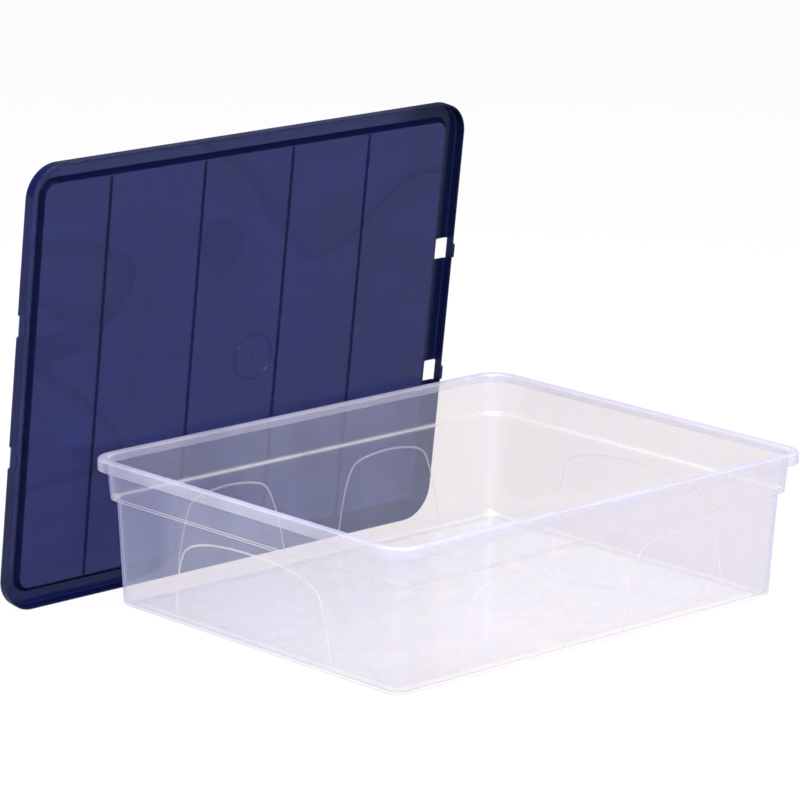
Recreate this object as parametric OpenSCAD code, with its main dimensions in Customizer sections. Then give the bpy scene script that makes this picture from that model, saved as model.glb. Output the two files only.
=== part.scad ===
// Under bed storage box: a clear tub and a loose press-on lid.
// Millimetres. Origin at the centre of the tub's underside, +Z up,
// +X along the long side. Insets of the tub are measured inwards from the
// rim's outline. At rest the lid is off the tub and stands on its long edge
// behind it (+Y side), leaning on the rim with its underside towards the tub.

/* [Tub] */
// Length over the rim
rim_l = 600; // [560:5:640]
// Width over the rim
rim_w = 480; // [440:5:500]
// Height from the floor it stands on to the top of the rim
tub_h = 160; // [140:5:190]
// Corner radius of the rim, seen from above
rim_r = 33; // [28:1:40]
// Wall thickness of the tub
wall = 1.8; // [1.5:0.1:2.5]
// Thickness of the tub's floor
floor_t = 2.2; // [1.8:0.1:3]
// How far the down-turned lip hangs below the top of the rim
lip_drop = 12; // [10:0.5:14]
// Height of the shoulder where the collar steps in to the body
shoulder_z = 115; // [95:1:120]
// Inset of the collar just under the rim
collar_top_in = 9.5; // [8:0.5:11]
// Inset of the collar at the shoulder
collar_bot_in = 14; // [12:0.5:15]
// Inset of the body just under the shoulder
body_top_in = 19; // [18:0.5:21]
// Inset of the body at the floor
body_bot_in = 24; // [22:0.5:27]
// Corner radius of the body, seen from above
body_r = 18; // [14:1:24]
// Rounding between the walls and the floor
floor_round = 4; // [3:0.5:6]

/* [Wall ribs] */
// Width of the raised outline ribs
rib_w = 1.6; // [1:0.1:3]
// How far the ribs stand out of the wall
rib_proud = 0.6; // [0.3:0.1:1]

/* [Lid] */
// Running clearance between the rim and the inside of the lid's skirt
lid_gap = 1; // [0.5:0.25:2]
// Wall thickness of the lid's skirt and border
lid_t = 2; // [1.8:0.1:2.4]
// Thickness of the lid's centre panel
panel_t = 2; // [1.6:0.1:2.4]
// Outside height of the skirt
skirt_h = 13; // [13:0.5:16]
// Width of the channel under the border, from the outer edge to the sloping wall
border_w = 17; // [16.5:0.25:18]
// How far the sloping wall runs inwards
slope_w = 4.5; // [3.5:0.25:5]
// How far the centre panel is set down below the border
panel_drop = 5; // [4:0.5:6.5]
// Position along the long side of the first line that divides the panel
line_1 = -194.5; // [-200:0.5:-180]
// Position of the second line
line_2 = -67; // [-80:0.5:-50]
// Position of the third line
line_3 = 56; // [40:0.5:70]
// Position of the fourth line
line_4 = 166; // [150:0.5:190]
// Width of the lines between the fields
line_w = 3; // [1.5:0.1:4]
// Height of the lines on the underside
line_h = 1.4; // [0.8:0.1:2]
// Distance of the windows from the middle of the short side
window_pos = 71.5; // [60:0.5:90]
// Length of a window along the short side
window_l = 24; // [18:1:28]
// How far a window at +X reaches in from the lid's edge
window_in = 16.5; // [12:0.25:16.5]
// How far a window at -X reaches in from the lid's edge
window_in_left = 11; // [9:0.25:16.5]
// Length of a snap tongue
tongue_l = 16; // [12:1:18]
// How far the snap tongue hangs below the skirt
tongue_h = 3; // [3:0.25:5]
// How far the hook reaches in under the lip
hook_in = 3; // [2:0.25:3]
// Diameter of the round moulding mark on the panel
mark_d = 52; // [30:1:60]
// Position of that mark along the long side, from the middle
mark_x = 21.5; // [20:0.5:24]
// Position of that mark along the short side, from the middle
mark_y = 10.5; // [-40:0.5:40]

/* [Placement] */
// Where the lid is: standing behind the tub, or snapped on
lid_placement = "leaning"; // [leaning, closed]
// Lean of the standing lid from upright, in degrees
lean = 6.5; // [5:0.1:7]
// How far behind the rim the standing lid's lower edge is
lean_back = 19; // [19:0.5:25]
// How far the standing lid is pushed along -X
lean_shift = 89; // [40:1:100]

/* [Hidden] */

slice_t = 0.01; // thickness of the slices that hulls are drawn over
cut = 1; // overshoot of a cut past a face
corner_fn = 32;

// Tub
floor_knee = 0.3; // middle of the floor rounding, as a share of floor_round
rim_edge_in = 1.4; // bevel on the rim's top edge
rim_edge_drop = 1.6;
draft = atan((body_bot_in - body_top_in) / shoulder_z); // outward lean of the body walls
rib_root = 1; // depth the ribs are sunk into the wall
rib_steps = 2; // curve steps between two points of a rib's outline

// Lid, in its own frame
lid_l = rim_l + 2 * (lid_gap + lid_t);
lid_w = rim_w + 2 * (lid_gap + lid_t);
lid_r = rim_r + lid_gap + lid_t;
border_z = skirt_h - lid_t; // underside of the border
panel_z = border_z - panel_drop; // underside of the centre panel
slope_t = lid_t * 1.35; // sloping wall measured level
lid_edge = 2.5; // rounding of the top outer edge
lid_edge_mid = 0.8; // its middle, in from both faces
recess_over = 2; // how far the recess cut runs past the top
window_over = 2; // how far the window cuts run out past the skirt
window_cut_h = 8; // height of those cuts, centred on the lid's top
line_end_gap = 2.5; // from the sloping wall to a line's end
line_root = 0.5; // overlap of the lines with the panel
closed_gap = 0.2; // play between the rim and the border of the closed lid

// Round mark: a ring with a small disc at its centre
ring_w = 1.5;
ring_proud = 0.6;
ring_h = 1;
disc_d = 5;
disc_proud = 1;
disc_h = 1.5;

// Section of a snap tongue: [outwards from the lid's edge, height]
tongue_root = 1;
tongue_bevel = 0.8;
tongue_section = [
    [0, tongue_root],
    [0, tongue_bevel - tongue_h],
    [-tongue_bevel, -tongue_h],
    [-lid_t, -tongue_h],
    [-lid_t - hook_in, 1.4 - tongue_h], // tip of the hook
    [-lid_t, 1.7 - tongue_h],
    [-lid_t, tongue_root]
];

// Centre line of a long-wall rib: [distance from the wall's middle, height
// up the wall], from the inner foot over the crown to the outer foot
long_rib = [
    [38, 5], [41, 22], [47, 50], [54, 72], [61, 86], [70, 94], [90, 99],
    [120, 101], [150, 98], [165, 93], [174, 84], [182, 60], [188, 35], [192, 5]
];
// Half of the short wall's one wide rib, same columns, from a foot to the middle
short_rib_half = [
    [119, 5], [118, 23], [112, 57], [105, 78], [95, 88], [76, 95], [46, 100], [0, 102]
];
short_rib = concat(
    [for (point = short_rib_half) [-point[0], point[1]]],
    [for (i = [len(short_rib_half) - 2:-1:0]) short_rib_half[i]]
);

// Point i of a list, held at the list's ends
function held(points, i) = points[max(0, min(len(points) - 1, i))];

// Catmull-Rom curve between points i and i + 1, at share t of the way
function curve_point(points, i, t) =
    let (
        before = held(points, i - 1),
        start = held(points, i),
        end = held(points, i + 1),
        after = held(points, i + 2)
    )
    0.5 * (2 * start + (end - before) * t
        + (2 * before - 5 * start + 4 * end - after) * t * t
        + (3 * start - before - 3 * end + after) * t * t * t);

function smooth(points) = concat(
    [for (i = [0:len(points) - 2], k = [0:rib_steps - 1]) curve_point(points, i, k / rib_steps)],
    [points[len(points) - 1]]
);

function unit(vector) = vector / norm(vector);

// The same line moved to its left by distance
function beside(points, distance) = [
    for (i = [0:len(points) - 1])
        let (along = unit(held(points, i + 1) - held(points, i - 1)))
        points[i] + distance * [-along[1], along[0]]
];

function reversed(points) = [for (i = [len(points) - 1:-1:0]) points[i]];

module rounded_rectangle(length, width, radius) {
    square([length - 2 * radius, width], center = true);
    square([length, width - 2 * radius], center = true);
    for (x = [-1, 1], y = [-1, 1])
        translate([x * (length / 2 - radius), y * (width / 2 - radius)])
            circle(r = radius, $fn = corner_fn);
}

// A very thin slice at height z, its outline moved in by inset
module slice(inset, radius, z, length = rim_l, width = rim_w)
    translate([0, 0, z]) linear_extrude(slice_t)
        rounded_rectangle(length - 2 * inset, width - 2 * inset, radius);

// Drafted body, moved in by inset, from bottom to top
module tub_body(inset, bottom, top) {
    hull() {
        slice(body_bot_in + floor_round + inset, body_r - floor_round + 2, bottom);
        slice(body_bot_in + floor_round * floor_knee + inset, body_r - 1,
            bottom + floor_round * floor_knee);
        slice(body_bot_in + inset, body_r, bottom + floor_round);
        slice(body_top_in + inset, body_r, top - slice_t);
    }
}

// Collar between the shoulder and the rim, moved in by inset
module tub_collar(inset, bottom, top) {
    hull() {
        slice(collar_bot_in + inset, rim_r - collar_bot_in, bottom);
        slice(collar_top_in + inset, rim_r - collar_top_in, top - slice_t);
    }
}

// Rim with its down-turned lip
module tub_rim() {
    difference() {
        hull() {
            slice(0, rim_r, tub_h - lip_drop);
            slice(0, rim_r, tub_h - rim_edge_drop);
            slice(rim_edge_in, rim_r - rim_edge_in, tub_h - slice_t);
        }
        translate([0, 0, tub_h - lip_drop - cut]) linear_extrude(lip_drop + cut - wall)
            rounded_rectangle(rim_l - 2 * wall, rim_w - 2 * wall, rim_r - wall);
    }
}

// One rib, drawn in the wall's own plane
module rib(points) {
    middle = smooth(points);
    linear_extrude(rib_root + rib_proud)
        polygon(concat(beside(middle, rib_w / 2), reversed(beside(middle, -rib_w / 2))));
}

// Lays ribs on a body wall: the -Y wall turned about Z by turn degrees, its
// rim half_span from the middle
module on_wall(turn, half_span)
    rotate([0, 0, turn]) translate([0, -(half_span - body_bot_in - rib_root), 0])
        rotate([draft, 0, 0]) rotate([90, 0, 0]) children();

module wall_ribs() {
    for (turn = [0, 180])
        on_wall(turn, rim_w / 2) {
            rib(long_rib);
            mirror([1, 0, 0]) rib(long_rib);
        }
    for (turn = [-90, 90])
        on_wall(turn, rim_l / 2) rib(short_rib);
}

module tub() {
    color([0.93, 0.93, 0.97, 0.45]) difference() {
        union() {
            tub_body(0, 0, shoulder_z + wall / 2);
            tub_collar(0, shoulder_z, tub_h);
            tub_rim();
            wall_ribs();
        }
        tub_body(wall, floor_t, shoulder_z + wall);
        tub_collar(wall, shoulder_z + wall - slice_t, tub_h + cut);
    }
}

// Inset of the sloping wall's underside from the lid's edge at height z
function slope_in(z) = border_w + slope_w * (border_z - z) / panel_drop;

// A slice of the lid, its corners concentric with the lid's
module lid_slice(inset, z) slice(inset, lid_r - inset, z, lid_l, lid_w);

// Tapered block inside the sloping wall, moved in by inset
module slope_block(inset, bottom, top) {
    hull() {
        lid_slice(slope_in(bottom) + inset, bottom);
        lid_slice(slope_in(top) + inset, top);
    }
}

module lid_block() {
    hull() {
        lid_slice(0, 0);
        lid_slice(0, skirt_h - lid_edge);
        lid_slice(lid_edge_mid, skirt_h - lid_edge_mid);
        lid_slice(lid_edge, skirt_h - slice_t);
    }
}

// Channel for the rim and the space under the panel
module lid_hollow() {
    difference() {
        translate([0, 0, -cut]) linear_extrude(border_z + cut)
            rounded_rectangle(lid_l - 2 * lid_t, lid_w - 2 * lid_t, lid_r - lid_t);
        slope_block(0, panel_z, skirt_h);
    }
}

// Windows over the snap tongues, open through the skirt's upper edge
module lid_windows() {
    for (x = [-1, 1], y = [-1, 1]) {
        reach = x > 0 ? window_in : window_in_left;
        translate([x * (lid_l + window_over - reach) / 2, y * window_pos, skirt_h])
            cube([reach + window_over, window_l, window_cut_h], center = true);
    }
}

// Lines between the fields, on the underside of the panel
module panel_lines() {
    line_l = lid_w - 2 * (border_w + slope_w + line_end_gap);
    for (x = [line_1, line_2, line_3, line_4])
        translate([x - line_w / 2, -line_l / 2, panel_z - line_h])
            cube([line_w, line_l, line_h + line_root]);
}

module panel_mark() {
    translate([mark_x, mark_y, panel_z - ring_proud]) difference() {
        cylinder(d = mark_d, h = ring_h, $fn = 96);
        translate([0, 0, -cut])
            cylinder(d = mark_d - 2 * ring_w, h = ring_h + 2 * cut, $fn = 96);
    }
    translate([mark_x, mark_y, panel_z - disc_proud]) cylinder(d = disc_d, h = disc_h, $fn = 48);
}

// Snap tongues with their hooks, two on each short side
module snap_tongues() {
    for (turn = [0, 180], y = [-1, 1])
        rotate([0, 0, turn]) translate([lid_l / 2, y * window_pos, 0])
            rotate([90, 0, 0]) translate([0, 0, -tongue_l / 2])
                linear_extrude(tongue_l) polygon(tongue_section);
}

// The lid in its own frame: centred, skirt edge at z = 0, outside up
module lid_shape() {
    difference() {
        lid_block();
        lid_hollow();
        // recess over the panel, seen from outside
        slope_block(slope_t, panel_z + panel_t, skirt_h + recess_over);
        lid_windows();
    }
    panel_lines();
    panel_mark();
    snap_tongues();
}

module lid() {
    color([0.10, 0.11, 0.33, 0.9])
        if (lid_placement == "leaning")
            translate([-lean_shift, rim_w / 2 + lean_back, 0]) rotate([lean - 90, 0, 0])
                translate([0, -lid_w / 2, 0]) lid_shape();
        else
            translate([0, 0, tub_h - border_z + closed_gap]) lid_shape();
}

tub();
lid();
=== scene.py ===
"""Under-bed box: a clear tub with its navy press-on lid standing on edge behind it.

The tub is centred on x = y = 0 and rises from z = 0, its length along X and its
width along Y. The lid stands at its +Y side, with the underside facing the tub.
Shapes are drawn in millimetres, and the scene is in metres.
"""
import math

import bmesh
import bpy
import numpy as np
from mathutils import Matrix, Vector


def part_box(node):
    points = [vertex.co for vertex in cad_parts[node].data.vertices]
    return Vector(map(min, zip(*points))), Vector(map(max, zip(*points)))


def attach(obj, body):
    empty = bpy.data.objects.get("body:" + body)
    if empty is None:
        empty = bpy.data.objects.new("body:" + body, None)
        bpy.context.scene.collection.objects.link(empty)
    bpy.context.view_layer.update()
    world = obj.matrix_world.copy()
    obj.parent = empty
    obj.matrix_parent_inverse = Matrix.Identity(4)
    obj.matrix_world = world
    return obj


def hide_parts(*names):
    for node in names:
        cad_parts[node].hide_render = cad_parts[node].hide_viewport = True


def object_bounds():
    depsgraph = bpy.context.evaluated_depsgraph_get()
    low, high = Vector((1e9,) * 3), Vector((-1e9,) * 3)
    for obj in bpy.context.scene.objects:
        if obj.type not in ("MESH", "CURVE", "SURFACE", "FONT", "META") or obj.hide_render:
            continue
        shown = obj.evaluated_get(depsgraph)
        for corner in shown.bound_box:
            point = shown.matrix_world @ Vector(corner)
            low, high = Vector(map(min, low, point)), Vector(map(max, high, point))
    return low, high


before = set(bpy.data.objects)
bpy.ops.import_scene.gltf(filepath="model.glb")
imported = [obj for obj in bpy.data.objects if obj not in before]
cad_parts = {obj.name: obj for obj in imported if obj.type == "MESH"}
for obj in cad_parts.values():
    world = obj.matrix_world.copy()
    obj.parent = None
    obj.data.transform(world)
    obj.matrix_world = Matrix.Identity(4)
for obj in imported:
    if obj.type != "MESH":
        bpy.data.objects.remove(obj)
cad_lo, cad_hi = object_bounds()
tub_lo, tub_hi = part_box("tub")
lid_lo, lid_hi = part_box("lid")

MM = 0.001
scene = bpy.context.scene

# ---------------------------------------------------------------- dimensions, mm
# Tub. An inset is measured inwards from the outer edge of the rim.
TUB_LENGTH = (tub_hi.x - tub_lo.x) / MM
TUB_WIDTH = (tub_hi.y - tub_lo.y) / MM
TUB_HEIGHT = (tub_hi.z - tub_lo.z) / MM
RIM_RADIUS = 33.0
WALL = 1.8
LIP = 12.0                                  # depth of the rim's turned-down lip
SHOULDER = 115.0                            # height where the body steps out to the collar
COLLAR_TOP, COLLAR_BOTTOM = 9.5, 14.0       # insets
BODY_TOP, BODY_BOTTOM = 19.0, 24.0          # insets
BODY_RADIUS = 18.0

# Lid, drawn flat. An inset is measured inwards from the outer edge of the skirt.
LID_LENGTH = (lid_hi.x - lid_lo.x) / MM
LID_WIDTH = 486.0
LID_RADIUS = 36.0
LID_WALL = 2.0
SKIRT = 13.0                                # height of the skirt
BORDER = 17.0                               # width of the raised border
SLOPE = 4.5                                 # width of the slope from border to panel
DROP = 5.0                                  # depth of the panel below the border
CEILING = SKIRT - LID_WALL - DROP           # height of the panel's underside
PANEL_EDGE = BORDER + SLOPE                 # inset where the panel starts
LINES_X = (-194.5, -67.0, 56.0, 166.0)      # ridges across the underside
MARK_X, MARK_Y = 21.5, 10.5                 # centre of the round moulding mark
MARK_RADIUS = 25.5
SNAP_Y = 71.5                               # snap tongues, either side of the middle

# Standing the lid up
LEAN = 6.5                                  # degrees from upright, top towards the tub
LEAN_BACK = 19.0                            # from the tub's +Y side to the lid's low edge

# Mesh resolution
SIDE_STEPS = 14                             # along each straight side of a shell
SHARP_ANGLE = 34                            # degrees


# ---------------------------------------------------------------- mesh tools
def point(x, y, z):
    """A scene point from millimetres."""
    return Vector((x * MM, y * MM, z * MM))


def fillet(points, quarter_steps=5):
    """Rounds the corners of an open polyline of (inset, height, radius).

    quarter_steps is the step count of a quarter turn, raised for radii over 3 mm.
    """
    rounded = [Vector(points[0][:2])]
    for previous, (inset, height, radius), following in zip(points, points[1:], points[2:]):
        corner = Vector((inset, height))
        before = Vector(previous[:2]) - corner
        after = Vector(following[:2]) - corner
        before_length, after_length = before.length, after.length
        before.normalize()
        after.normalize()
        half = math.acos(before.dot(after)) / 2
        tangent = min(radius / math.tan(half), before_length * 0.49, after_length * 0.49)
        fitted = tangent * math.tan(half)
        centre = corner + (before + after).normalized() * (fitted / math.sin(half))
        start = corner + before * tangent - centre
        end = corner + after * tangent - centre
        turn = start.angle_signed(end)
        finer = 1.6 if radius > 3 else 1
        steps = max(3, int(round(abs(turn) / math.radians(90) * quarter_steps * finer)))
        for k in range(steps + 1):
            spoke = start.copy()
            spoke.rotate(Matrix.Rotation(-turn * k / steps, 2))
            rounded.append(centre + spoke)
    rounded.append(Vector(points[-1][:2]))
    return [(v.x, v.y) for v in rounded]


def rounded_rectangle(half_x, half_y, radius, z, corner_steps):
    """Points round a level rounded rectangle."""
    arcs = []
    for side_x, side_y, start in ((1, -1, -90), (1, 1, 0), (-1, 1, 90), (-1, -1, 180)):
        centre_x, centre_y = side_x * (half_x - radius), side_y * (half_y - radius)
        angles = [math.radians(start + 90 * i / corner_steps) for i in range(corner_steps + 1)]
        arcs.append([(centre_x + radius * math.cos(angle), centre_y + radius * math.sin(angle))
                     for angle in angles])
    outline = []
    for k, arc in enumerate(arcs):
        (x0, y0), (x1, y1) = arc[-1], arcs[(k + 1) % 4][0]
        outline += arc
        outline += [(x0 + (x1 - x0) * j / SIDE_STEPS, y0 + (y1 - y0) * j / SIDE_STEPS)
                    for j in range(1, SIDE_STEPS)]
    return [point(x, y, z) for x, y in outline]


def half_round(half_width, height, steps, foot):
    """Section of a raised line as (side, out) offsets, its foot sunk into the surface."""
    top = [(half_width * math.cos(angle), height * math.sin(angle))
           for angle in np.linspace(math.pi, 0, steps)]
    return [(-half_width, foot)] + top + [(half_width, foot)]


def skin(loops, slots=None, closed=False, flip_first=True):
    """A bmesh over successive loops of points, capped at both ends unless closed.

    slots gives a material index for each band between two loops.
    """
    bm = bmesh.new()
    rings = [[bm.verts.new(p) for p in loop] for loop in loops]
    count = len(rings[0])
    following = rings[1:] + rings[:1] if closed else rings[1:]
    for band, (a, b) in enumerate(zip(rings, following)):
        for i in range(count):
            j = (i + 1) % count
            face = bm.faces.new((a[i], a[j], b[j], b[i]))
            face.material_index = slots[band] if slots else 0
    if not closed:
        bm.faces.new(list(reversed(rings[0])) if flip_first else rings[0])
        bm.faces.new(rings[-1])
    return bm


def loft(profile, length, width, corner_steps, slots=None):
    """A shell from a profile of (inset, height, corner radius)."""
    return skin([rounded_rectangle(length / 2 - inset, width / 2 - inset, radius, z, corner_steps)
                 for inset, z, radius in profile], slots)


def sweep(path, out, section):
    """A tube along path. section(i) gives the (side, out) offsets at point i."""
    loops = []
    last = len(path) - 1
    for i, p in enumerate(path):
        along = (path[min(i + 1, last)] - path[max(i - 1, 0)]).normalized()
        side = out.cross(along).normalized()
        loops.append([p + side * (s * MM) + out * (o * MM) for s, o in section(i)])
    return skin(loops)


def add_object(name, data):
    ob = bpy.data.objects.new(name, data)
    scene.collection.objects.link(ob)
    return ob


def to_object(bm, name):
    mesh = bpy.data.meshes.new(name)
    bm.to_mesh(mesh)
    bm.free()
    return add_object(name, mesh)


def solid(bm, name):
    """An object whose faces all point outwards."""
    bmesh.ops.recalc_face_normals(bm, faces=bm.faces)
    return to_object(bm, name)


def smooth_curve(stations, steps=6):
    """A Catmull-Rom line through the stations."""
    last = len(stations) - 1
    curve = []
    for i in range(last):
        a, b, c, d = (np.array(stations[max(0, min(last, k))], float)
                      for k in (i - 1, i, i + 1, i + 2))
        for k in range(steps):
            t = k / steps
            curve.append(0.5 * (2 * b + (c - a) * t + (2 * a - 5 * b + 4 * c - d) * t * t
                                + (3 * b - a - 3 * c + d) * t ** 3))
    curve.append(np.array(stations[-1], float))
    return curve


def boolean(ob, others, operation):
    """Applies one exact boolean with each of the others, then removes them."""
    for other in others:
        modifier = ob.modifiers.new("cut", "BOOLEAN")
        modifier.operation = operation
        modifier.solver = "EXACT"
        modifier.object = other
        depsgraph = bpy.context.evaluated_depsgraph_get()
        mesh = bpy.data.meshes.new_from_object(ob.evaluated_get(depsgraph))
        ob.modifiers.clear()
        old = ob.data
        ob.data = mesh
        bpy.data.meshes.remove(old)
    for other in others:
        mesh = other.data
        bpy.data.objects.remove(other)
        bpy.data.meshes.remove(mesh)


def tidy(ob):
    """Welds slivers, shades smooth with sharp creases, and weights normals by face area."""
    bm = bmesh.new()
    bm.from_mesh(ob.data)
    bmesh.ops.remove_doubles(bm, verts=bm.verts, dist=2e-6)
    bmesh.ops.dissolve_degenerate(bm, dist=1e-6, edges=bm.edges)
    bmesh.ops.recalc_face_normals(bm, faces=bm.faces)
    for face in bm.faces:
        face.smooth = True
    for edge in bm.edges:
        edge.smooth = not (len(edge.link_faces) == 2
                           and edge.calc_face_angle(0) > math.radians(SHARP_ANGLE))
    bm.to_mesh(ob.data)
    bm.free()
    modifier = ob.modifiers.new("face weights", "WEIGHTED_NORMAL")
    modifier.keep_sharp = True
    modifier.weight = 100


# ---------------------------------------------------------------- the tub
# The edge, rib and rim slots take milkier plastics whose extra haze is a painted highlight.
SLOT_NAMES = ("wall", "edge", "rib", "rim")
SLOT_WALL, SLOT_EDGE_HIGHLIGHT, SLOT_RIB_HIGHLIGHT, SLOT_RIM_HIGHLIGHT = range(4)

# (inset, height, fillet radius), from the middle of the base up the outside to the rim
TUB_OUTSIDE = [
    (46, 1.0, 0), (40, 1.0, 4), (37, 0.0, 4), (BODY_BOTTOM, 0.0, 6),
    (BODY_TOP, SHOULDER, 1.6), (COLLAR_BOTTOM, SHOULDER, 1.9),
    (COLLAR_TOP, TUB_HEIGHT - WALL, 1.6), (WALL, TUB_HEIGHT - WALL, 1.3),
    (WALL, TUB_HEIGHT - LIP, 0.8), (0.0, TUB_HEIGHT - LIP, 0.8), (0.0, TUB_HEIGHT, 2.6),
    (COLLAR_TOP, TUB_HEIGHT, 0)]
# The same, from the rim down the inside to the middle of the base
TUB_INSIDE = [
    (5.0, TUB_HEIGHT, 0), (COLLAR_TOP + WALL, TUB_HEIGHT, 2.2),
    (COLLAR_BOTTOM + WALL, SHOULDER + WALL, 1.9), (BODY_TOP + WALL, SHOULDER + WALL, 1.8),
    (BODY_BOTTOM + WALL, 2.2, 5.5), (37.5, 2.2, 4), (40.5, 3.1, 4), (46, 3.1, 0)]

# Rib outlines: (distance from the wall's middle, height)
LONG_RIB = [
    (38, 5), (41, 22), (47, 50), (54, 72), (61, 86), (70, 94), (90, 99), (120, 101), (150, 98),
    (165, 93), (174, 84), (182, 60), (188, 35), (192, 5)]
SHORT_RIB_HALF = [
    (119, 5), (118, 23), (112, 57), (105, 78), (95, 88), (76, 95), (46, 100), (0, 102)]
RIB_HALF_WIDTH, RIB_HEIGHT, RIB_FOOT = 1.15, 0.58, -0.35
RIB_TAPER = 14                              # divides the distance from an end


def mirrored(line):
    return [(-x, z) for x, z in line]


def outer_radius(inset):
    """Corner radius of the outside at an inset."""
    if inset <= 15:
        return RIM_RADIUS - inset
    if inset <= BODY_BOTTOM:
        return BODY_RADIUS
    return max(BODY_RADIUS - 0.75 * (inset - BODY_BOTTOM), 3)


def inner_radius(inset):
    return outer_radius(inset - WALL) - WALL


def wall_inset(z):
    """Inset of the body's outside at height z."""
    return BODY_BOTTOM + (BODY_TOP - BODY_BOTTOM) * z / SHOULDER


def tub_slot(a, b):
    """Material index between two profile points: shoulder bends, rim and lip get milkier plastics,
    painted highlights.
    """
    inset, z = (a[0] + b[0]) / 2, (a[1] + b[1]) / 2
    length = math.hypot(a[0] - b[0], a[1] - b[1])
    if abs(z - SHOULDER - 0.9) < 3.2 and length < 8:
        return SLOT_EDGE_HIGHLIGHT
    if z > TUB_HEIGHT - 2.8 or (inset < 3.0 and z > TUB_HEIGHT - LIP - 1):
        return SLOT_RIM_HIGHLIGHT
    return SLOT_WALL


def rib(line, half_span, turn):
    """A raised outline on the -Y wall, turned in degrees about Z to its own wall."""
    slope = math.atan((BODY_BOTTOM - BODY_TOP) / SHOULDER)
    out = Vector((0, -math.cos(slope), -math.sin(slope)))
    path = [point(x, -(half_span - wall_inset(z)), z) for x, z in smooth_curve(line)]
    travelled = [0.0]
    for a, b in zip(path, path[1:]):
        travelled.append(travelled[-1] + (b - a).length / MM)

    def section(i):
        from_end = min(travelled[i], travelled[-1] - travelled[i])
        fullness = min(1.0, 0.25 + from_end / RIB_TAPER)
        return half_round(RIB_HALF_WIDTH * (0.6 + 0.4 * fullness), RIB_HEIGHT * fullness,
                          steps=9, foot=RIB_FOOT)

    bm = sweep(path, out, section)
    bmesh.ops.rotate(bm, cent=(0, 0, 0), matrix=Matrix.Rotation(math.radians(turn), 3, "Z"),
                     verts=bm.verts)
    # The rib's milkier plastic is a painted highlight.
    for face in bm.faces:
        face.material_index = SLOT_RIB_HIGHLIGHT
    return solid(bm, "rib")


def build_tub():
    # The end points on the rim only guide the fillets beside them.
    profile = [(inset, z, outer_radius(inset)) for inset, z in fillet(TUB_OUTSIDE)[:-1]]
    profile += [(inset, z, inner_radius(inset)) for inset, z in fillet(TUB_INSIDE)[1:]]
    slots = [tub_slot(a, b) for a, b in zip(profile, profile[1:])]
    shell = loft(profile, TUB_LENGTH, TUB_WIDTH, corner_steps=22, slots=slots)
    tub = solid(shell, "clear_tub_shell")

    ribs = []
    for turn in (0, 180):
        for line in (LONG_RIB, mirrored(LONG_RIB)):
            ribs.append(rib(line, TUB_WIDTH / 2, turn))
    short_rib = mirrored(SHORT_RIB_HALF) + SHORT_RIB_HALF[-2::-1]
    for turn in (90, -90):
        ribs.append(rib(short_rib, TUB_LENGTH / 2, turn))

    # Stand-in materials carry the slot indices through the union.
    stand_ins = [bpy.data.materials.new(name) for name in SLOT_NAMES]
    for ob in [tub] + ribs:
        for material in stand_ins:
            ob.data.materials.append(material)
    boolean(tub, ribs, "UNION")
    tidy(tub)
    return tub


# ---------------------------------------------------------------- the lid
# Built flat, with the skirt's edge at z = 0 and the outside up.
# (inset, height, fillet radius), from the panel's top round the skirt to its underside
LID_PROFILE = [
    (30, CEILING + LID_WALL, 0), (PANEL_EDGE + 0.9, CEILING + LID_WALL, 1.5),
    (BORDER + 0.9, SKIRT, 1.8), (0.0, SKIRT, 2.6), (0.0, 0.0, 0.5), (LID_WALL, 0.0, 0.5),
    (LID_WALL, SKIRT - LID_WALL, 1.2), (BORDER, SKIRT - LID_WALL, 1.2),
    (PANEL_EDGE, CEILING, 1.2), (30, CEILING, 0)]

LINE_HALF_WIDTH, LINE_HEIGHT, LINE_END_HEIGHT = 1.5, 1.4, 0.5
LINE_GAP = 2.5                              # from a line's end to the panel's edge
LINE_STEPS = 40

# (radius, depth below the panel's underside)
MARK_SECTION = [(25.2, -0.4), (25.2, 0.25), (25.5, 0.5), (25.9, 0.5), (26.2, 0.25), (26.2, -0.4)]
GATE_PROFILE = [(2.6, -0.4), (2.6, 0.2), (2.2, 0.7), (1.4, 0.95), (0.5, 0.8)]
MARK_STEPS, GATE_STEPS = 120, 32

# (inset, height, fillet radius) round a snap tongue and its inward hook
TONGUE_SECTION = [
    (0.0, 1.2, 0), (0.0, -3.0, 0.8), (LID_WALL, -3.0, 0.4), (LID_WALL + 3.0, -1.6, 0.3),
    (LID_WALL, -1.3, 0.2), (LID_WALL, 1.2, 0)]
# (place along the tongue, scale of the section)
TONGUE_STATIONS = [(-8, 0.55), (-7.6, 0.85), (-6.9, 1.0), (6.9, 1.0), (7.6, 0.85), (8, 0.55)]
TONGUE_INSET = 0.02

WINDOW_HALF_WIDTH, WINDOW_RADIUS = 12, 1.8
WINDOW_DEPTH = {1: 16.5, -1: 11.0}          # inwards from the +X and the -X end
WINDOW_OVERSHOOT = 3                        # outwards past the end
WINDOW_BOTTOM, WINDOW_TOP = 9.0, 17.0


def panel_line(x):
    """A ridge across the underside of the panel."""
    panel_width = LID_WIDTH - 2 * PANEL_EDGE
    start, length = -(panel_width / 2 - LINE_GAP), panel_width - 2 * LINE_GAP
    path = [point(x, start + length * k / LINE_STEPS, CEILING) for k in range(LINE_STEPS + 1)]

    def section(i):
        height = LINE_END_HEIGHT if i in (0, LINE_STEPS) else LINE_HEIGHT
        return half_round(LINE_HALF_WIDTH, height, steps=11, foot=-0.6)

    return solid(sweep(path, Vector((0, 0, -1)), section), "line")


def mark_point(radius, depth, k, steps):
    """Point k of the given steps round the mark's centre."""
    angle = 2 * math.pi * k / steps
    return point(MARK_X + radius * math.cos(angle), MARK_Y + radius * math.sin(angle),
                 CEILING - depth)


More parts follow.
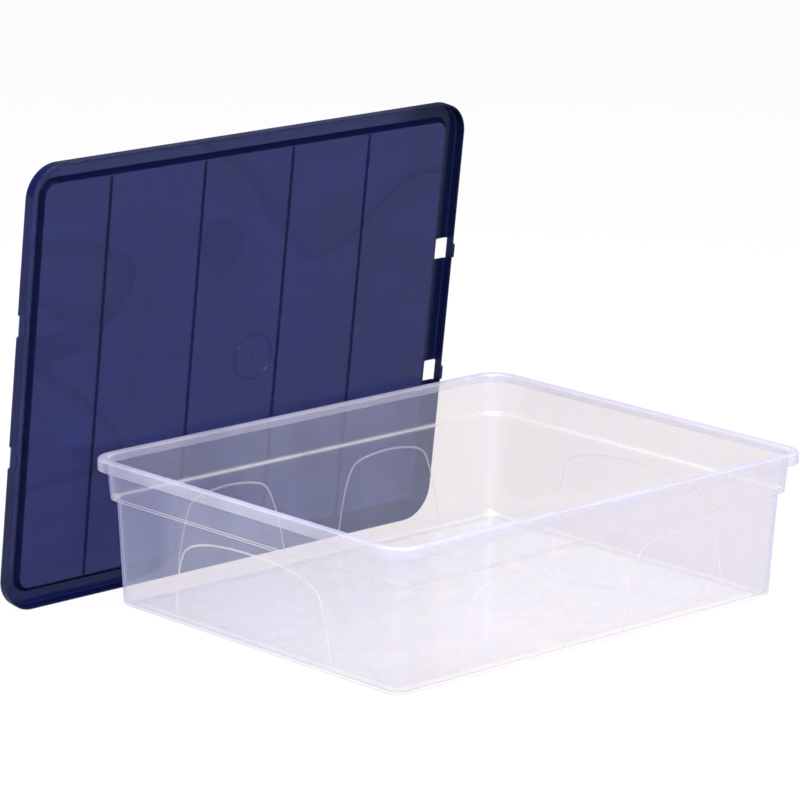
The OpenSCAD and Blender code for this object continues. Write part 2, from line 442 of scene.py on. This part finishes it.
def moulding_mark():
    """A round ridge on the underside."""
    loops = [[mark_point(radius, depth, k, MARK_STEPS) for radius, depth in MARK_SECTION]
             for k in range(MARK_STEPS)]
    return solid(skin(loops, closed=True), "mark")


def gate():
    """The small button in the middle of the mark."""
    loops = [[mark_point(radius, depth, k, GATE_STEPS) for k in range(GATE_STEPS)]
             for radius, depth in GATE_PROFILE]
    return solid(skin(loops, flip_first=False), "gate")


def tongue(side_x, side_y):
    """A snap tongue under the skirt, narrowed at its ends about the section's middle."""
    section = fillet(TONGUE_SECTION, quarter_steps=4)
    middle_inset, middle_z = LID_WALL / 2, 0.2
    loops = []
    for y, scale in TONGUE_STATIONS:
        loops.append([point(
            side_x * (LID_LENGTH / 2 - (middle_inset + (inset - middle_inset) * scale)
                      - TONGUE_INSET),
            side_y * SNAP_Y + y,
            middle_z + (z - middle_z) * scale) for inset, z in section])
    return solid(skin(loops), "tongue")


def window(side_x, side_y):
    """Cutter for the opening over a tongue, through the border and the skirt's upper edge."""
    outer = LID_LENGTH / 2 + WINDOW_OVERSHOOT
    inner = LID_LENGTH / 2 - WINDOW_DEPTH[side_x]
    y0, y1 = side_y * SNAP_Y - WINDOW_HALF_WIDTH, side_y * SNAP_Y + WINDOW_HALF_WIDTH
    r = WINDOW_RADIUS
    quarter = np.linspace(0, math.pi / 2, 7)
    outline = [(outer, y0)]
    outline += [(inner + r - r * math.sin(a), y0 + r - r * math.cos(a)) for a in quarter]
    outline += [(inner + r - r * math.cos(a), y1 - r + r * math.sin(a)) for a in quarter]
    outline += [(outer, y1)]
    loops = [[point(side_x * x, y, z) for x, y in outline] for z in (WINDOW_BOTTOM, WINDOW_TOP)]
    return solid(skin(loops, flip_first=False), "window")


def build_lid():
    profile = [(inset, z, max(4, LID_RADIUS - inset)) for inset, z in fillet(LID_PROFILE)]
    lid = solid(loft(profile, LID_LENGTH, LID_WIDTH, corner_steps=24), "navy_lid_shell")
    snaps = [(side_x, side_y) for side_x in (-1, 1) for side_y in (-1, 1)]
    parts = [panel_line(x) for x in LINES_X] + [moulding_mark(), gate()]
    parts += [tongue(*snap) for snap in snaps]
    boolean(lid, parts, "UNION")
    boolean(lid, [window(*snap) for snap in snaps], "DIFFERENCE")
    tidy(lid)
    return lid


tub = build_tub()
lid = build_lid()

# Stands the flat lid on its +Y edge, outside towards +Y.
stand = (
    Matrix.Translation(((lid_lo.x + lid_hi.x) / 2, tub_hi.y + LEAN_BACK * MM, lid_lo.z))
    @ Matrix.Rotation(math.radians(LEAN - 90), 4, "X")
    @ Matrix.Translation((0, -LID_WIDTH / 2 * MM, 0)))
lid.data.transform(stand)


# ---------------------------------------------------------------- materials
class Nodes:
    """A material and short calls for building its node tree."""

    def __init__(self, name):
        self.material = bpy.data.materials.new(name)
        self.material.use_nodes = True
        self.tree = self.material.node_tree
        self.tree.nodes.clear()
        self.output = self.tree.nodes.new("ShaderNodeOutputMaterial")

    def put(self, node, key, value):
        if hasattr(value, "is_output"):
            self.tree.links.new(value, node.inputs[key])
        else:
            node.inputs[key].default_value = value

    def node(self, kind, inputs=None, **props):
        node = self.tree.nodes.new("ShaderNode" + kind)
        for key, value in props.items():
            setattr(node, key, value)
        for key, value in (inputs or {}).items():
            self.put(node, key, value)
        return node

    def first(self, kind, inputs=None, **props):
        """The first output of a new node."""
        return self.node(kind, inputs, **props).outputs[0]

    def math(self, operation, a, b=0.0):
        return self.first("Math", {0: a, 1: b, 2: 0.0}, operation=operation)

    def length(self, x, y):
        return self.math("SQRT", self.math("ADD", self.math("MULTIPLY", x, x),
                                           self.math("MULTIPLY", y, y)))

    def ramp(self, value, span, to):
        """Maps the span of value onto the range to, held level beyond it."""
        return self.first("MapRange", {"Value": value, "From Min": span[0], "From Max": span[1],
                                       "To Min": to[0], "To Max": to[1]})

    def spread(self, noise, low, high):
        """Maps the usual span of a noise."""
        return self.ramp(noise, (0.3, 0.7), (low, high))

    def noise(self, place, scale, detail=2.0, rough=0.5, distortion=0.0):
        return self.node("TexNoise", {"Vector": place, "Scale": scale, "Detail": detail,
                                      "Roughness": rough, "Distortion": distortion}).outputs["Fac"]

    def stretch(self, place, scale):
        return self.first("Mapping", {"Vector": place, "Scale": scale})

    def bump(self, height, strength, distance):
        return self.first("Bump", {"Strength": strength, "Distance": distance, "Height": height})

    def shader(self, kind, colour):
        return self.first("Bsdf" + kind, {"Color": colour})

    def mix(self, factor, a, b):
        return self.first("MixShader", {0: factor, 1: a, 2: b})

    def mix_colour(self, factor, a, b):
        return self.node("Mix", {0: factor, 6: a, 7: b}, data_type="RGBA").outputs[2]

    def grey(self, value):
        return self.first("CombineColor", {0: value, 1: value, 2: value})

    def polish(self, body, ior, rough, bump):
        """Gloss over a body whose rays go straight through, by the outside's reflectance."""
        gloss = self.first("BsdfAnisotropic", {"Color": (1, 1, 1, 1), "Roughness": rough,
                                               "Normal": bump})
        back = self.node("NewGeometry").outputs["Backfacing"]
        both_sides = self.ramp(back, (0, 1), (ior, 1 / ior))
        return self.mix(self.first("Fresnel", {"IOR": both_sides, "Normal": bump}), body, gloss)


MILK = 0.066                                # haze of one wall seen square on
HAZE_WALL = (0.62, 0.67, 1.0, 1)
# The next two haze colours tint painted highlights on the rim, and on the shoulder bends and ribs.
HIGHLIGHT_HAZE_RIM = (0.70, 0.70, 0.88, 1)
HIGHLIGHT_HAZE_LINE = (0.77, 0.75, 0.80, 1)
# Gains over one on the edge, rib and rim plastics are painted highlights, standing in for the
# bright lines where bends and ridges catch the light.
# (name, gain on MILK, haze colour) in slot order
CLEAR_PLASTICS = [
    ("clear_plastic", 1.0, HAZE_WALL), ("clear_plastic_edge_highlight", 2.5, HIGHLIGHT_HAZE_LINE),
    ("clear_plastic_rib_highlight", 5.2, HIGHLIGHT_HAZE_LINE), ("clear_plastic_rim_highlight", 2.3, HIGHLIGHT_HAZE_RIM)]


def clear_plastic(name, gain, colour):
    """Thin clear polypropylene, a little milky and bluish. A gain over one adds haze as a painted
    highlight on the bends, ribs and rim.
    """
    mat = Nodes(name)
    place = mat.node("TexCoord").outputs["Object"]
    broad = mat.noise(place, scale=9.0)
    flow = mat.noise(mat.stretch(place, (1, 1, 0.1)), scale=32.0, detail=1.0)
    bump = mat.bump(flow, strength=0.08, distance=0.0005)

    # Haze deepens with the slant of the view. The extra haze round the body's corners is a painted
    # highlight, standing in for softbox glints in the corner radii.
    facing = mat.node("LayerWeight", {"Blend": 0.5}).outputs["Facing"]
    cosine = mat.math("MAXIMUM", mat.math("SUBTRACT", 1.0, facing), 0.14)
    vary = mat.math("MULTIPLY", mat.spread(broad, 0.85, 1.15), mat.spread(flow, 0.9, 1.1))
    xyz = mat.node("SeparateXYZ", {0: place})
    near_end = []
    for axis, size in (("X", TUB_LENGTH), ("Y", TUB_WIDTH)):
        start = size / 2 - BODY_TOP - BODY_RADIUS
        near_end.append(mat.ramp(mat.math("ABSOLUTE", xyz.outputs[axis]),
                                 (start * MM, (start + 6) * MM), (0, 1)))
    corner = mat.ramp(mat.math("MULTIPLY", *near_end), (0, 1), (1, 1.5))
    vary = mat.math("MULTIPLY", vary, corner)
    milk = mat.math("DIVIDE", mat.math("MULTIPLY", vary, MILK * gain), cosine)
    milk = mat.math("MINIMUM", milk, 0.6)

    clear = mat.shader("Transparent", (0.995, 0.98, 0.96, 1))
    haze = mat.mix(0.5, mat.shader("Diffuse", colour), mat.shader("Translucent", colour))
    surface = mat.polish(mat.mix(milk, clear, haze), ior=1.48,
                         rough=mat.spread(flow, 0.08, 0.17), bump=bump)
    mat.put(mat.output, "Surface", surface)
    return mat.material


def lid_inset(mat, x, y):
    """Distance in from the lid's rounded outline, in metres."""
    beyond_x, beyond_y = (
        mat.math("SUBTRACT", mat.math("ABSOLUTE", along), (size / 2 - LID_RADIUS) * MM)
        for along, size in ((x, LID_LENGTH), (y, LID_WIDTH)))
    far = mat.length(mat.math("MAXIMUM", beyond_x, 0.0), mat.math("MAXIMUM", beyond_y, 0.0))
    within = mat.math("MINIMUM", mat.math("MAXIMUM", beyond_x, beyond_y), 0.0)
    return mat.math("SUBTRACT", LID_RADIUS * MM, mat.math("ADD", far, within))


def navy_plastic():
    """Translucent navy polypropylene: one layer passes deep blue, two layers go near black."""
    mat = Nodes("navy_plastic")
    flat = stand.inverted()
    place = mat.first("Mapping", {
        "Vector": mat.node("TexCoord").outputs["Object"],
        "Rotation": tuple(flat.to_euler()), "Location": tuple(flat.translation)})
    xyz = mat.node("SeparateXYZ", {0: place})
    x, y = xyz.outputs["X"], xyz.outputs["Y"]
    inset = lid_inset(mat, x, y)

    # Darkened places: painted shade in the slope round the panel, and the lines across it, darker
    # for their thicker plastic with painted shade along them
    step_shade_and_lines = mat.math("MULTIPLY",
                    mat.ramp(inset, ((BORDER - 0.6) * MM, BORDER * MM), (0, 1)),
                    mat.ramp(inset, (PANEL_EDGE * MM, (PANEL_EDGE + 0.9) * MM), (1, 0)))
    for line_x in LINES_X:
        away = mat.math("ABSOLUTE", mat.math("SUBTRACT", x, line_x * MM))
        inside = mat.ramp(inset, (PANEL_EDGE * MM, (PANEL_EDGE + 3) * MM), (0, 0.8))
        line = mat.ramp(away, (1.2 * MM, 1.6 * MM), (1, 0))
        step_shade_and_lines = mat.math("MAXIMUM", step_shade_and_lines, mat.math("MULTIPLY", line, inside))

    # Painted shade on the border along the +X end and along the low (+Y) edge, where the skirt
    # shades the channel
    border = ((BORDER - 1) * MM, BORDER * MM)
    shaded_end_border = mat.math("MULTIPLY", mat.ramp(x, (0.2, 0.25), (0, 1)),
                          mat.ramp(inset, border, (1, 0)))
    shaded_low_border = mat.math("MULTIPLY", mat.ramp(y, (0.19, 0.22), (0, 0.4)),
                          mat.ramp(inset, border, (1, 0)))

    # Noise patterns; a trail is dark on one side of a contour and fades from it
    broad = mat.noise(place, scale=7.0)
    flow = mat.noise(mat.stretch(place, (1, 0.1, 1)), scale=40.0, detail=3.0)
    wisps = mat.noise(mat.stretch(place, (0.5, 1.6, 1)), scale=11.0, detail=4.0, rough=0.55,
                      distortion=2.2)
    front = mat.noise(mat.stretch(place, (0.6, 1, 0)), scale=3.2, detail=1.0, rough=0.4,
                      distortion=1.0)
    contour = 0.52
    trail = mat.math("ADD",
                     mat.ramp(mat.math("SUBTRACT", front, contour), (0.0, 0.035), (0.9, 0)),
                     mat.ramp(mat.math("SUBTRACT", contour, front), (0.0, 0.004), (0, -0.9)))
    bump = mat.bump(broad, strength=0.3, distance=0.001)

    # Blue haze, strongest at the gate and weak in the end border, where it is cut as painted shade
    reach = mat.length(mat.math("SUBTRACT", x, MARK_X * MM), mat.math("SUBTRACT", y, MARK_Y * MM))
    haze = mat.math("MULTIPLY", mat.spread(flow, 0.031, 0.043),
                    mat.ramp(wisps, (0.35, 0.7), (0.8, 1.45)))
    haze = mat.math("MULTIPLY", haze, mat.ramp(reach, (0.001, 0.004), (2.2, 1)))
    haze = mat.math("MULTIPLY", haze, mat.ramp(shaded_end_border, (0, 1), (1, 0.35)))
    body = mat.mix(haze, mat.shader("Transparent", (0.97, 0.97, 0.99, 1)),
                   mat.shader("Diffuse", (0.02, 0.07, 0.9, 1)))
    surface = mat.polish(body, ior=1.45, rough=mat.spread(flow, 0.12, 0.22), bump=bump)

    # Near-black share of the surface: painted shade in the step and on the shaded borders, the
    # darker lines, and the trails, with a halo round the mark
    off_ring = mat.math("ABSOLUTE", mat.math("SUBTRACT", reach, MARK_RADIUS * MM))
    halo = mat.ramp(off_ring, (0.0004, 0.0035), (0.1, 0))
    marks = mat.math("MAXIMUM", halo, mat.math("MULTIPLY", trail, 0.13))
    shaded_borders = mat.math("MAXIMUM", shaded_low_border, mat.math("MULTIPLY", shaded_end_border, 0.55))
    dark = mat.math("MAXIMUM", mat.math("MULTIPLY", step_shade_and_lines, 0.9),
                    mat.math("MAXIMUM", shaded_borders, marks))
    near_black_shade_and_marks = mat.shader("Diffuse", (0.003, 0.005, 0.025, 1))
    mat.put(mat.output, "Surface", mat.mix(dark, surface, near_black_shade_and_marks))
    mat.put(mat.output, "Volume", mat.first(
        "VolumeAbsorption", {"Color": (0.057, 0.126, 0.463, 1), "Density": 1750.0}))
    return mat.material


for slot, settings in enumerate(CLEAR_PLASTICS):
    tub.data.materials[slot] = clear_plastic(*settings)
lid.data.materials.clear()
lid.data.materials.append(navy_plastic())

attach(tub, "tub")
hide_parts("tub")
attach(lid, "lid")
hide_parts("lid")

# ---------------------------------------------------------------- floor and light
# A plain white sweep. What the plastic mirrors and passes is set apart from
# what the camera sees directly.
SWEEP = 0.93                                # floor seen directly
SKY = 0.98                                  # world seen directly
THROUGH_NEAR = (1.57, 1.46, 1.13, 1)        # floor under the tub, seen through plastic
THROUGH_SHADE = (1.10, 1.04, 0.95, 1)       # the same, towards -X +Y, darkened as painted shadow of the lid
THROUGH_FAR = (0.84, 0.80, 0.785, 1)        # floor outside the tub, seen through plastic
MIRROR_FRONT, MIRROR_BACK, MIRROR_SKY = 0.78, 0.54, 0.2
AMBIENT = 0.6                               # light given to everything else


def floor_material():
    mat = Nodes("floor")
    place = mat.node("NewGeometry").outputs["Position"]
    xyz = mat.node("SeparateXYZ", {0: place})
    x, y = xyz.outputs["X"], xyz.outputs["Y"]
    rays = mat.node("LightPath").outputs

    # Seen by the camera, directly or through plastic
    share_x, share_y = (
        mat.math("DIVIDE", mat.math("ABSOLUTE", along), (size / 2 - BODY_BOTTOM) * MM)
        for along, size in ((x, TUB_LENGTH), (y, TUB_WIDTH)))
    outside = mat.ramp(mat.math("MAXIMUM", share_x, share_y), (0.97, 1.02), (0.0, 1.0))
    side = mat.math("SUBTRACT", x, y)
    # Painted shadow of the lid: the floor under the tub darkens towards -X +Y.
    under = mat.mix_colour(mat.ramp(side, (-0.5, 0.12), (1.0, 0.0)), THROUGH_NEAR, THROUGH_SHADE)
    through = mat.mix_colour(outside, under, THROUGH_FAR)
    direct = mat.math("LESS_THAN", rays["Transparent Depth"], 0.5)
    seen = mat.mix_colour(direct, through, (SWEEP, SWEEP, SWEEP, 1))

    # Mirrored in the plastic, or lighting it
    tone = mat.spread(mat.noise(place, scale=3.0, detail=3.0), 0.99, 1.01)
    mirror = mat.math("MULTIPLY", mat.ramp(side, (-0.8, 0.8), (MIRROR_BACK, MIRROR_FRONT)), tone)
    other = mat.mix_colour(rays["Is Glossy Ray"], (AMBIENT, AMBIENT, AMBIENT, 1),
                           mat.grey(mirror))
    light = mat.mix_colour(rays["Is Camera Ray"], other, seen)

    # A faint matte share, for camera rays only, takes the shadows.
    matte = mat.grey(mat.math("MULTIPLY", rays["Is Camera Ray"], 0.045))
    mat.put(mat.output, "Surface", mat.first("AddShader", {
        0: mat.shader("Diffuse", matte),
        1: mat.first("Emission", {"Color": light, "Strength": 1.0})}))
    return mat.material


bm = bmesh.new()
bmesh.ops.create_grid(bm, x_segments=2, y_segments=2, size=30.0)
floor = to_object(bm, "floor")
floor.location.z = cad_lo.z - 0.0002
floor.data.materials.append(floor_material())


def build_world():
    world = bpy.data.worlds.new("studio")
    scene.world = world
    world.use_nodes = True
    nodes, links = world.node_tree.nodes, world.node_tree.links
    background = nodes["Background"]
    background.inputs["Color"].default_value = (1, 1, 1, 1)
    rays = nodes.new("ShaderNodeLightPath").outputs
    mirrored_sky = nodes.new("ShaderNodeMapRange")
    mirrored_sky.inputs["To Min"].default_value = AMBIENT
    mirrored_sky.inputs["To Max"].default_value = MIRROR_SKY
    links.new(rays["Is Glossy Ray"], mirrored_sky.inputs["Value"])
    strength = nodes.new("ShaderNodeMix")
    strength.inputs[3].default_value = SKY
    links.new(rays["Is Camera Ray"], strength.inputs[0])
    links.new(mirrored_sky.outputs[0], strength.inputs[2])
    links.new(strength.outputs[0], background.inputs["Strength"])


def softbox(name, place, size, power):
    """A rectangular light aimed at the middle of the product."""
    light = bpy.data.lights.new(name, "AREA")
    light.shape = "RECTANGLE"
    light.size, light.size_y = size
    light.energy = power
    ob = add_object(name, light)
    ob.location = place
    ob.rotation_mode = "QUATERNION"
    ob.rotation_quaternion = (centre - Vector(place)).to_track_quat("-Z", "Y")
    ob.visible_camera = False
    return ob


build_world()
centre = (cad_lo + cad_hi) / 2
softbox("key", (centre.x - 0.9, centre.y - 2.5, 1.4), size=(2.2, 1.8), power=100)
softbox("top", (centre.x, centre.y, 2.5), size=(2.4, 2.4), power=105)
left = softbox("left", (centre.x - 2.6, centre.y + 0.1, 1.1), size=(2.6, 2.0), power=75)
left.visible_glossy = False

# ---------------------------------------------------------------- camera
CAMERA_PLACE = (-3.172823572, -3.290947077, 1.359000190)
AZIMUTH, ELEVATION, ROLL = -0.755352441, 0.244760947, 0.01300655    # radians

camera_data = bpy.data.cameras.new("camera")
camera = add_object("camera", camera_data)
camera_data.sensor_width = 36.0
camera_data.lens = 202.2209
camera_data.clip_start, camera_data.clip_end = 0.05, 200
back = Vector((math.sin(AZIMUTH) * math.cos(ELEVATION),
               -math.cos(AZIMUTH) * math.cos(ELEVATION), math.sin(ELEVATION)))
level = (-back).cross(Vector((0, 0, 1))).normalized()
upright = level.cross(-back)
right = level * math.cos(ROLL) + upright * math.sin(ROLL)
up = upright * math.cos(ROLL) - level * math.sin(ROLL)
camera.matrix_world = Matrix((
    *zip(right, up, back, CAMERA_PLACE),
    (0, 0, 0, 1)))
scene.camera = camera

# ---------------------------------------------------------------- render settings
scene.view_settings.view_transform = "Standard"
scene.view_settings.look = "None"
scene.view_settings.exposure = 0.0
scene.view_settings.gamma = 1.0
scene.cycles.transparent_max_bounces = 64
scene.cycles.max_bounces = 12
scene.cycles.use_denoising = True
scene.cycles.sample_clamp_indirect = 3.0
scene.cycles.blur_glossy = 1.0
